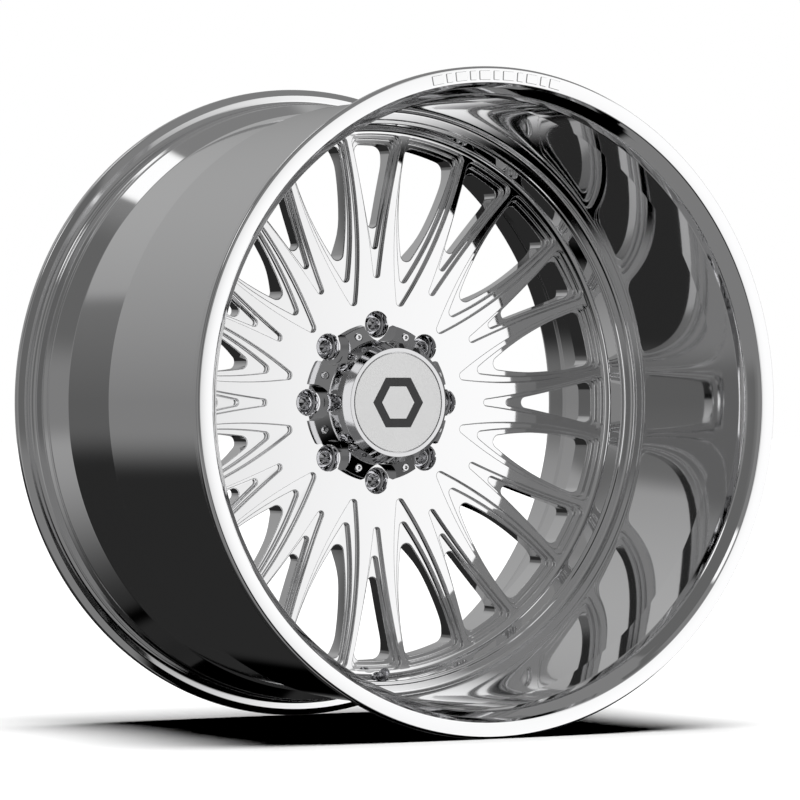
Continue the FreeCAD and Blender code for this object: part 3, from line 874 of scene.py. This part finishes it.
class WHEEL_OT_cap_trim(bpy.types.Operator):
    """Build the cap's face plate, its hexagonal inlay and the eight screws"""

    bl_idname = "wheel.cap_trim"
    bl_label = "Cap Trim"

    def execute(self, context):
        plate = lathe("face_plate_satin", [
            (0.0, CAP_FACE_Y), (PLATE_R, CAP_FACE_Y, 0.4), (PLATE_R, CAP_FACE_Y + PLATE_THICK),
            (0.0, CAP_FACE_Y + PLATE_THICK)], steps=192)
        carve(plate, hexagon_ring("inlay_recess", 0.0, CAP_FACE_Y - 1.0))
        smooth(plate)
        paint(plate, finish("satin_plate"))
        settle(plate, RIM_BODY, "satin_plate", "cap_face_plate")
        inlay = hexagon_ring("hexagon_inlay", 0.03, CAP_FACE_Y + 0.05)
        soften(inlay, 0.12)
        smooth(inlay)
        paint(inlay, finish("dark_inlay"))
        settle(inlay, RIM_BODY, "dark_inlay", "cap_emblem")
        screws = lathe("cap_screws_steel", [
            (0.0, SCREW_FACE_Y), (SCREW_HEAD_R, SCREW_FACE_Y, 0.6),
            (SCREW_HEAD_R, SCREW_FACE_Y + SCREW_HEAD_H),
            (SCREW_SHANK_R, SCREW_FACE_Y + SCREW_HEAD_H), (SCREW_SHANK_R, SCREW_END_Y, 0.5),
            (0.0, SCREW_END_Y)], steps=48)
        carve(screws, prism("screw_socket", hexagon(SCREW_SOCKET_R), SCREW_FACE_Y - 1.0,
                            SCREW_FACE_Y + SCREW_SOCKET_DEPTH))
        soften(screws, 0.15)
        smooth(screws, 40.0)
        move_piece(screws, (SCREW_CIRCLE_R, 0, 0))
        repeat_piece(screws, LUG_COUNT, 180.0 / LUG_COUNT)
        paint(screws, finish("screw_steel"))
        settle(screws, RIM_BODY, "screw_steel", "cap_screws")
        return {"FINISHED"}


def hexagon_ring(name, gap, front_y):
    """A hexagonal ring that ends at the depth of the inlay, smaller all round by a gap."""
    back_y = CAP_FACE_Y + INLAY_DEPTH - gap
    ring = prism(name, hexagon(INLAY_OUT - gap), front_y, back_y)
    carve(ring, prism(name + "_middle", hexagon(INLAY_IN + gap), front_y - 1, back_y + 1))
    return ring


class WHEEL_OT_valve(bpy.types.Operator):
    """Build the tyre valve: stem, washer, hexagonal nut and cap"""

    bl_idname = "wheel.valve"
    bl_label = "Tyre Valve"

    def execute(self, context):
        stem = valve_lathe("valve_stem_chrome", [
            (STEM_R, STEM_TIP, 0.3), (STEM_R, STEM_HEAD), (STEM_HEAD_R, STEM_HEAD, 0.4),
            (STEM_HEAD_R, STEM_END, 1.0), (STEM_BORE_R, STEM_END),
            (STEM_BORE_R, CORE_BORE_END), (CORE_BORE_R, CORE_BORE_END),
            (CORE_BORE_R, STEM_TIP)])
        washer = valve_lathe("valve_washer_steel", [
            (STEM_R + 0.1, WASHER_FRONT, 0.2), (WASHER_R, WASHER_FRONT, 0.5),
            (WASHER_R, VALVE_SEAT), (STEM_R + 0.1, VALVE_SEAT)])
        nut = valve_lathe("valve_nut_chrome", [
            (STEM_R + 0.05, VALVE_NUT_FRONT), (VALVE_NUT_R - 1.3, VALVE_NUT_FRONT),
            (VALVE_NUT_R, VALVE_NUT_FRONT + 0.6), (VALVE_NUT_R, WASHER_FRONT),
            (STEM_R + 0.05, WASHER_FRONT)], steps=6)
        soften(nut, 0.3)
        thread_r = STEM_R + 0.08
        hollow = VALVE_CAP_FRONT + 1.8
        cap = valve_lathe("valve_cap_knurled", [
            (0.0, VALVE_CAP_FRONT), (VALVE_CAP_R, VALVE_CAP_FRONT, 2.0),
            (VALVE_CAP_R, VALVE_CAP_BACK, 0.4), (thread_r, VALVE_CAP_BACK),
            (thread_r, hollow), (0.0, hollow)], steps=40)
        knurl(cap)
        for piece, body, slot, node in (
                (stem, RIM_BODY, "valve_metal", "valve_stem"),
                (washer, RIM_BODY, "valve_metal", "valve_washer"),
                (nut, RIM_BODY, "valve_metal", "valve_nut"),
                (cap, "valve_cap", "valve_cap_metal", "valve_cap")):
            smooth(piece, 25.0)
            paint(piece, finish(slot))
            settle(piece, body, slot, node)
        return {"FINISHED"}


def knurl(cap):
    """Press the middle of every face of the valve cap a little way in."""
    pick(cap)
    bpy.ops.object.mode_set(mode="EDIT")
    bpy.ops.mesh.select_mode(type="FACE")
    bpy.ops.mesh.select_all(action="SELECT")
    bpy.ops.mesh.inset(thickness=0.12 * MM, depth=-0.25 * MM, use_individual=True)
    bpy.ops.object.mode_set(mode="OBJECT")


class WHEEL_OT_lip_marks(bpy.types.Operator):
    """Build a plain row of raised bars on top of the front flange"""

    bl_idname = "wheel.lip_marks"
    bl_label = "Lip Marks"

    def execute(self, context):
        middle_r = FLANGE_FACE_R + 6.0
        bars = None
        for k in range(-5, 6):
            wide = 6.5 if k % 2 else 3.6
            outline = rounded([(-wide, -BAR_TALL, 0.8), (wide, -BAR_TALL, 0.8),
                               (wide, BAR_TALL, 0.8), (-wide, BAR_TALL, 0.8)], 30.0)
            bar = prism("lip_bar", [Vector((p.x, p.y + middle_r)) for p in outline],
                        -HALF_WIDTH - BAR_RELIEF, -HALF_WIDTH + 0.4)
            pick(bar)
            bpy.ops.object.mode_set(mode="EDIT")
            bpy.ops.mesh.select_all(action="SELECT")
            turn_selection(k * BAR_PITCH)
            bpy.ops.object.mode_set(mode="OBJECT")
            bars = join(bars, bar) if bars else bar
        bars.name = "lip_marks"
        soften(bars, 0.5, segments=3)
        smooth(bars)
        paint(bars, finish("polished_lip"))
        settle(bars, RIM_BODY, "polished_lip")
        return {"FINISHED"}


class WHEEL_OT_studio(bpy.types.Operator):
    """Set the pale floor, the soft studio light and the camera"""

    bl_idname = "wheel.studio"
    bl_label = "Studio"

    def execute(self, context):
        set_world(context.scene)
        add_floor()
        add_camera(context.scene)
        context.scene.view_settings.view_transform = "Standard"
        return {"FINISHED"}


def lamp(tree, direction, azimuth, elevation, size):
    """A round lamp seen in a direction: azimuth 0 is -Y and +X is 90, all in degrees."""
    a, e = math.radians(azimuth), math.radians(elevation)
    aim = (math.sin(a) * math.cos(e), -math.cos(a) * math.cos(e), math.sin(e))
    toward = tree.add("ShaderNodeVectorMath", {"operation": "DOT_PRODUCT"},
                      {0: direction, 1: aim}, output=1)
    return tree.step(toward, math.cos(math.radians(size * 1.2)),
                     math.cos(math.radians(size * 0.8)))


def set_world(scene):
    """Studio that the metal reflects; the camera itself sees a pale backdrop."""
    world = bpy.data.worlds.new("studio")
    scene.world = world
    world.use_nodes = True
    tree = Tree(world.node_tree)
    direction = tree.add("ShaderNodeTexCoord")
    x = tree.add("ShaderNodeSeparateXYZ", None, {0: direction})
    y = tree.add("ShaderNodeSeparateXYZ", None, {0: direction}, output=1)
    z = tree.add("ShaderNodeSeparateXYZ", None, {0: direction}, output=2)
    degree = 180 / math.pi
    azimuth = x.combine("ARCTAN2", x, y * -1) * degree
    height = z.combine("ARCSINE", z, 0) * degree
    aside = x.combine("ABSOLUTE", azimuth, 0)

    above = tree.step(height, -14, -4)
    rear = tree.step(aside, 138, 146)
    high = x.combine("MAXIMUM", height, 0)
    sky = 0.2 + rear * high * 0.005 * (1 - tree.step(height, 38, 46))
    sky = sky * (1 - 0.5 * tree.band(azimuth, -151, -140, 3) * tree.band(height, -30, 24, 8))
    sky = sky * (1 - 0.4 * tree.band(azimuth, -128, -92, 10) * tree.band(height, 14, 50, 14))
    sky = sky * (1 - 0.4 * tree.band(azimuth, -64, -29, 6))
    left = tree.band(azimuth, -134, -90, 8) * (0.3 - 0.28 * tree.step(height * -1, 8, 62))
    front_left = tree.band(azimuth, -90, -14, 12) * 0.19
    mirrored = tree.step(azimuth, 0, 10) * (1 - tree.band(height, -45, -24, 3))
    behind = rear * 0.02 * tree.step(height, -66, -62) * (1 - mirrored)
    ground = left + front_left + behind
    wall = sky * above + ground * (1 - above)
    panel = tree.step(azimuth, 14, 34) * (1 - tree.step(azimuth, 112, 120))
    panel = panel * tree.band(height, -30, 38, 6)
    strip = tree.band(azimuth, -2, 24, 6) * tree.band(height, -6, 6, 4) * 0.7
    lamps = lamp(tree, direction, -147, 61, 9) + lamp(tree, direction, -77, 43, 9)
    bright = x.combine("MAXIMUM", panel, strip)
    glow = x.combine("MAXIMUM", wall, x.combine("MAXIMUM", bright, lamps)) * 1.1
    onto_floor = tree.add("ShaderNodeLightPath", output="Diffuse Depth")
    glow = glow * (1 - onto_floor.combine("MINIMUM", onto_floor, 1))

    studio = tree.add("ShaderNodeBackground", None, {"Strength": glow})
    dim = tree.add("ShaderNodeBackground", None, {"Strength": 0.0})
    backdrop = tree.add("ShaderNodeBackground", None, {"Strength": 1.0})
    for node in (studio, dim, backdrop):
        node.socket.node.inputs["Color"].default_value = (1.0, 1.0, 1.0, 1.0)
    to_camera = tree.add("ShaderNodeLightPath")
    from_metal = tree.add("ShaderNodeLightPath", output=3)
    reflected = tree.add("ShaderNodeMixShader", None, {0: from_metal, 1: dim, 2: studio})
    surface = tree.add("ShaderNodeMixShader", None, {0: to_camera, 1: reflected, 2: backdrop})
    tree.add("ShaderNodeOutputWorld", None, {"Surface": surface})


def add_floor():
    """A pale floor that shows the wheel's shadow but not in the metal."""
    deselect()
    bpy.ops.mesh.primitive_plane_add(size=60.0, location=CENTRE)
    floor = bpy.context.active_object
    floor.name = "floor"
    move_piece(floor, (0, 0, FLOOR_Z / MM))
    material, tree = new_material("floor")
    shader = tree.add("ShaderNodeBsdfPrincipled", None,
                      {"Base Color": (0.96, 0.96, 0.96, 1.0), "Roughness": 0.9,
                       "Specular IOR Level": 0.0})
    tree.add("ShaderNodeOutputMaterial", None, {"Surface": shader})
    paint(floor, material)
    floor.visible_glossy = False
    bpy.ops.object.light_add(type="SUN", rotation=(math.radians(5), math.radians(2), 0.0))
    light = bpy.context.active_object
    light.name = "ceiling_light"
    light.data.angle = math.radians(40)
    light.data.energy = 4.2
    light.visible_glossy = False


def add_camera(scene):
    """A long lens, level with the wheel's centre and 30 degrees off its axis."""
    distance, azimuth = 5.012, math.radians(29.85)
    aside, above = 0.00735, 0.0027
    right = Vector((math.cos(azimuth), -math.sin(azimuth), 0.0))
    back = Vector((-math.sin(azimuth), -math.cos(azimuth), 0.0))
    bpy.ops.object.camera_add()
    camera = bpy.context.active_object
    camera.name = "camera"
    camera.location = back * distance + right * aside + Vector((0, 0, above))
    camera.rotation_euler = (math.radians(90), 0.0, -azimuth)
    camera.data.lens = 208.6
    camera.data.sensor_width = 36.0
    scene.camera = camera


class WHEEL_PT_panel(bpy.types.Panel):
    """Sidebar panel with the wheel's sizes and its building steps"""

    bl_label = "Wheel Rim"
    bl_idname = "WHEEL_PT_panel"
    bl_space_type = "VIEW_3D"
    bl_region_type = "UI"
    bl_category = "Wheel Rim"

    def draw(self, context):
        rim = context.scene.wheel_rim
        for name in WheelRimProperties.__annotations__:
            self.layout.prop(rim, name)
        for step in STEPS:
            self.layout.operator(step.bl_idname)


STEPS = (
    WHEEL_OT_studio,
    WHEEL_OT_outer_lip,
    WHEEL_OT_inner_barrel,
    WHEEL_OT_welds,
    WHEEL_OT_forged_centre,
    WHEEL_OT_lug_nuts,
    WHEEL_OT_centre_cap,
    WHEEL_OT_cap_trim,
    WHEEL_OT_valve,
    WHEEL_OT_lip_marks,
)
CLASSES = (WheelRimProperties,) + STEPS + (WHEEL_PT_panel,)


def register():
    for cls in CLASSES:
        bpy.utils.register_class(cls)
    bpy.types.Scene.wheel_rim = bpy.props.PointerProperty(type=WheelRimProperties)


def unregister():
    del bpy.types.Scene.wheel_rim
    for cls in reversed(CLASSES):
        bpy.utils.unregister_class(cls)


def main():
    """Build every piece in order."""
    register()
    for step in STEPS:
        group, name = step.bl_idname.split(".")
        getattr(getattr(bpy.ops, group), name)()
    repaint_nodes()


def repaint_nodes():
    """Give every CAD node that still shows its finish."""
    slots = {part["node"]: part["material_slot"] for part in frame["record"]["subparts"]}
    for name, node in frame["nodes"].items():
        for i in range(len(node.material_slots)):
            node.material_slots[i].link = "OBJECT"
            node.material_slots[i].material = finish(slots[name])


if __name__ == "__main__":
    main()
